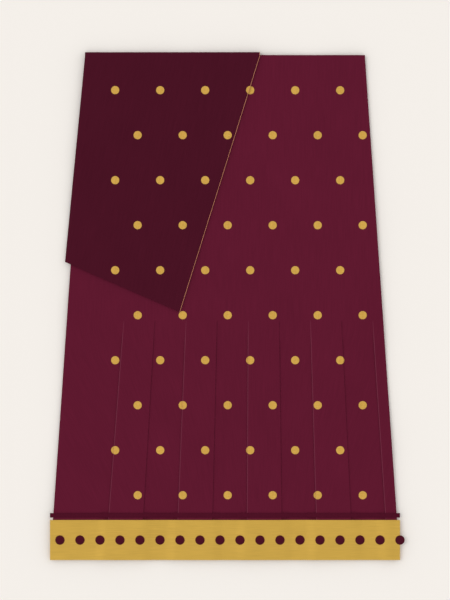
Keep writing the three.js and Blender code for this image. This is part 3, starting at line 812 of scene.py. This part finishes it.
# The roundels
# A row of eighteen dark round patches, worked in satin stitch and sewn on the gold border. The
# last one overlaps the border's right end.
ROUNDELS = 18
ROUNDEL_PITCH, LAST_ROUNDEL = 45.15, 395
ROUNDEL_Y = BORDER_HEIGHT / 2
ROUNDEL_RADIUS = 10.6
ROUNDEL_BASE, ROUNDEL_EDGE, ROUNDEL_CROWN = 1.25, 0.35, 0.75
ROUNDEL_RED = "#481422"
# The section of a patch, as shares of its radius: its underside, its edge, and in over its top.
ROUNDEL_SECTION = np.array([0.35, 0.7, 0.93, 1.0, 1.0, 0.97, 0.9, 0.78, 0.62, 0.42, 0.2])
EDGE_POINT, TOP_POINT = 3, 4  # the middle of its edge, and the first point of its top
ROUNDEL_SIDES = 40
FLOSS_THREAD, FLOSS, FLOSS_WEAVE, FLOSS_RISE = 0.9, (14, 0.9), 0.03, 0.08


def roundel_patch(centre_x):
    """A domed disc that follows the border: out along the underside, round the edge, and in over
    the top, which rises from the edge by the root of 1 less the square of the radius."""
    out = ROUNDEL_SECTION
    top = np.arange(len(out)) >= TOP_POINT
    rise = np.where(top, ROUNDEL_EDGE + ROUNDEL_CROWN * np.sqrt(1 - out**2), 0)
    rise[EDGE_POINT] = ROUNDEL_EDGE / 2
    angle = np.linspace(0, 2 * np.pi, ROUNDEL_SIDES, endpoint=False)
    off_x, off_y = (ROUNDEL_RADIUS * out[:, None] * wave(angle) for wave in (np.cos, np.sin))
    x, y = centre_x + off_x, ROUNDEL_Y + off_y
    z = FRONT_TOP + ROUNDEL_BASE + height_over_folds(x, y) + rise[:, None]
    rings = settled(np.stack([x, y, z], axis=-1))[None]
    points, faces = closed_tubes(rings)
    return points, faces, np.column_stack([off_x.ravel(), off_y.ravel()]) * MM


def satin_stitch(name, colour):
    """Satin stitch: silk floss laid close side by side from edge to edge of the patch, glossy
    along the threads."""
    material, tree = empty_material(name)
    floss = drawn_out_noise(tree, FLOSS)
    relief = raised(tree, thread_relief(tree, FLOSS_THREAD), FLOSS_WEAVE)
    thread = {
        "Base Color": shaded(tree, linear(colour)[:3], spread(tree, floss, 0.9, 1.1)),
        "Roughness": 0.5,
        "Specular IOR Level": 0.07,
        "Sheen Weight": 0.14,
        "Sheen Roughness": 0.3,
        "Specular Tint": linear(SILK_GLOSS),
        "Sheen Tint": linear(SILK_GLOSS),
        "Normal": raised(tree, floss, FLOSS_RISE, relief),
    }
    shader = add_node(tree, "ShaderNodeBsdfPrincipled", thread)
    add_node(tree, "ShaderNodeOutputMaterial", {"Surface": shader})
    return material


dark_satin_stitch = satin_stitch("dark_wine_satin_stitch", ROUNDEL_RED)
for k in range(ROUNDELS):
    place = LAST_ROUNDEL - (ROUNDELS - 1 - k) * ROUNDEL_PITCH
    number = f"{k + 1:02d}"
    patch = show(
        f"roundel_patch_{number}",
        [roundel_patch(place)],
        dark_satin_stitch,
        SMALL_WORK_CRISP_FROM,
    )
    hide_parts(f"border_roundel_{number}")

# The pallu
# The saree's darker end piece, folded in three along its length, brought up over the top edge and
# laid slantwise across the upper left. Its tail runs back under the stack.
PALLU_RED = "#471323"
PALLU_LEVEL, PALLU_TAIL_LEVEL = 13.4, 0.5
TOP_LEFT, TOP_RIGHT = np.array([-316, CLOTH_WIDTH]), np.array([79, CLOTH_WIDTH])
BOTTOM_LEFT, BOTTOM_RIGHT = np.array([-361.2, 672.7]), np.array([-101.6, 560])
EDGE_DROOP, CORNER_DROOP, FREE_END_DROOP = 1.6, 5, 1.0
EDGE_BAND, DROOP_CURVE = 0.035, 1.5  # the share of the pallu that droops, and the power
LEVEL_CURVE = 8  # the power of v by which the droop ends at the top edge
PAST_TOP, TURN_INSET, TAIL_LENGTH = 6.3, 2, 100
EDGE_COLUMNS, MIDDLE_COLUMNS, EDGE_SHARE = 8, 60, 0.06
END_ROWS, LEVEL_ROWS, END_SHARE = 6, 88, 0.05
OVER_TOP_ROWS, TAIL_ROWS = 17, (2.3, 2.65, 3)
INNER_LEVELS = (10.25, 11.8)
INNER_ROWS, INNER_SIDE_INSET = 60, 3
INNER_INSET, INNER_INSET_AT_END = 7, 11
INNER_INSET_MORE, INNER_END_MORE = 1.5, 2  # for the second layer
INNER_CORNER = 1.6  # how much more the free corner is moved up than in
pallu_silk = woven_silk("deep_wine_handloom_silk", PALLU_RED, SPOT_GOLD)


def pallu_surface(u, v):
    """The pallu's middle surface. u runs from its left to its right edge. v runs from the free end
    (0) to the top edge (1) level and drooping at the edges, from 1 to 2 in a half ellipse over the
    top edge, and from 2 to 3 straight back under the stack."""
    flat, turn, back = np.minimum(v, 1), np.pi * np.clip(v - 1, 0, 1), np.clip(v - 2, 0, 1)
    low = BOTTOM_LEFT + (BOTTOM_RIGHT - BOTTOM_LEFT) * u[..., None]
    high = (TOP_LEFT + (TOP_RIGHT - TOP_LEFT) * u[..., None]) - (0, TURN_INSET)
    x, y = np.moveaxis(low + (high - low) * flat[..., None], -1, 0)
    left, right, end = (np.clip(1 - t / EDGE_BAND, 0, 1) ** DROOP_CURVE for t in (u, 1 - u, flat))
    corner = np.maximum(CORNER_DROOP * (1 - flat), EDGE_DROOP)
    droop = np.maximum(corner * left + EDGE_DROOP * right, FREE_END_DROOP * end)
    droop = droop * (1 - flat**LEVEL_CURVE)
    depth = (PALLU_LEVEL - PALLU_TAIL_LEVEL) / 2
    z = PALLU_TAIL_LEVEL + depth * (1 + np.cos(turn)) - droop
    y = y + (PAST_TOP + TURN_INSET) * np.sin(turn) - TAIL_LENGTH * back
    return np.stack([x, y, z], axis=-1)


pallu_u = np.concatenate(
    [
        np.linspace(0, EDGE_SHARE, EDGE_COLUMNS),
        np.linspace(EDGE_SHARE, 1 - EDGE_SHARE, MIDDLE_COLUMNS)[1:-1],
        np.linspace(1 - EDGE_SHARE, 1, EDGE_COLUMNS),
    ]
)
pallu_v = np.concatenate(
    [
        np.linspace(0, END_SHARE, END_ROWS),
        np.linspace(END_SHARE, 1, LEVEL_ROWS)[1:],
        np.linspace(1, 2, OVER_TOP_ROWS)[1:],
        TAIL_ROWS,
    ]
)
pallu_cloth = show(
    "pallu_cloth",
    [shell(settled(pallu_surface(*np.meshgrid(pallu_u, pallu_v))), SILK)],
    pallu_silk,
)
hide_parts("pallu")


def inner_edges(k):
    """The left and the right line of one layer folded inside the pallu: the right one follows the
    pallu's edge, and the left one the stack's side."""
    share = np.linspace(0, 1, INNER_ROWS)[:, None]
    inset = INNER_INSET + INNER_INSET_MORE * k
    y_low = BOTTOM_LEFT[1] + INNER_INSET_AT_END + INNER_END_MORE * k
    y_high = CLOTH_WIDTH - TURN_INSET - 1
    low_left = np.array([-half_width(y_low) + INNER_SIDE_INSET, y_low])
    high_left = np.array([TOP_LEFT[0] + inset, y_high])
    low_right = BOTTOM_RIGHT + (-inset, INNER_CORNER * inset)
    high_right = np.array([TOP_RIGHT[0] - inset, y_high])
    left = low_left + (high_left - low_left) * share
    right = low_right + (high_right - low_right) * share
    sway = np.column_stack([wander(right[:, 1], k + 0.5, EDGE_WANDER), np.zeros(len(right))])
    return left + sway, right + sway


inner_lines = [inner_edges(k) for k in range(len(INNER_LEVELS))]
pallu_inner_silk = show(
    "pallu_inner_silk",
    [shell(settled(zigzag(*zip(*inner_lines), INNER_LEVELS)), SILK)],
    pallu_silk,
)
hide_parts("pallu_inner_folds")

# The piping
# A thin twisted cord of gilt thread, sewn along the pallu's right edge from its free end to the
# fold over the top.
PIPING_GOLD = "#d48d6c"
CORD_RADIUS = 0.5
CORD_INSET = 0.6
CORD_TWIST = 4.0  # one turn of its three strands
CORD_STEP, CORD_SIDES = 0.45, 14
CORD_LIFT = 0.05
CORD_ENDS_AT, CORD_STOPS = 1.5, 300  # halfway round the turn over the top edge
STRAND_LOBE = 0.16  # how far the strands stand out, as a share of the radius
BESIDE_CORD = np.array([0.4, 0, -0.4])  # places on the cloth that give its slope
WINDINGS, WINDING_RISE = (3, 0.5), 0.05


def twisted_cord():
    """Three strands twisted together and laid along the edge of the pallu: a round section whose
    radius has three lobes, turning once every CORD_TWIST."""
    v = np.linspace(0, CORD_ENDS_AT, CORD_STOPS)[:, None]
    width = np.linalg.norm(pallu_surface(0 * v, v) - pallu_surface(0 * v + 1, v), axis=-1)
    u = 1 - (CORD_INSET + BESIDE_CORD) / width
    strip = settled(pallu_surface(u, np.broadcast_to(v, u.shape)))
    normal = normals(strip)[:, 1]
    middle = strip[:, 1] + normal * (SILK / 2 + CORD_RADIUS + CORD_LIFT)
    length = np.pad(np.linalg.norm(np.diff(middle, axis=0), axis=1), (1, 0)).cumsum()
    at = np.linspace(0, length[-1], int(length[-1] / CORD_STEP))
    middle, normal = (
        np.column_stack([np.interp(at, length, line[:, k]) for k in range(3)])
        for line in (middle, normal)
    )
    forward = np.gradient(middle, axis=0)
    sideways = np.cross(forward, normal)
    sideways /= np.linalg.norm(sideways, axis=1, keepdims=True)
    angle = np.linspace(0, 2 * np.pi, CORD_SIDES, endpoint=False)
    lobes = 1 + STRAND_LOBE * np.cos(3 * (angle - 2 * np.pi * at[:, None] / CORD_TWIST))
    radius = (CORD_RADIUS / (1 + STRAND_LOBE) * lobes)[..., None]
    around = np.cos(angle)[:, None] * normal[:, None] + np.sin(angle)[:, None] * sideways[:, None]
    points, faces = closed_tubes((middle[:, None] + radius * around)[None])
    cord_map = np.dstack(np.broadcast_arrays(angle * CORD_RADIUS, at[:, None])).reshape(-1, 2)
    return points, faces, cord_map * MM


def gilt_thread(name, colour):
    """Gilt thread: fine metal strip wound close round a silk core, bright where it faces light."""
    material, tree = empty_material(name)
    windings = drawn_out_noise(tree, WINDINGS)
    metal = {
        "Base Color": shaded(tree, linear(colour)[:3], spread(tree, windings, 0.88, 1.12)),
        "Metallic": 0.6,
        "Roughness": 0.38,
        "Specular IOR Level": 0.3,
        "Normal": raised(tree, windings, WINDING_RISE),
    }
    shader = add_node(tree, "ShaderNodeBsdfPrincipled", metal)
    add_node(tree, "ShaderNodeOutputMaterial", {"Surface": shader})
    return material


gilt_piping = show(
    "gilt_piping",
    [twisted_cord()],
    gilt_thread("twisted_gilt_cord", PIPING_GOLD),
    SMALL_WORK_CRISP_FROM,
)
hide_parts("pallu_piping")
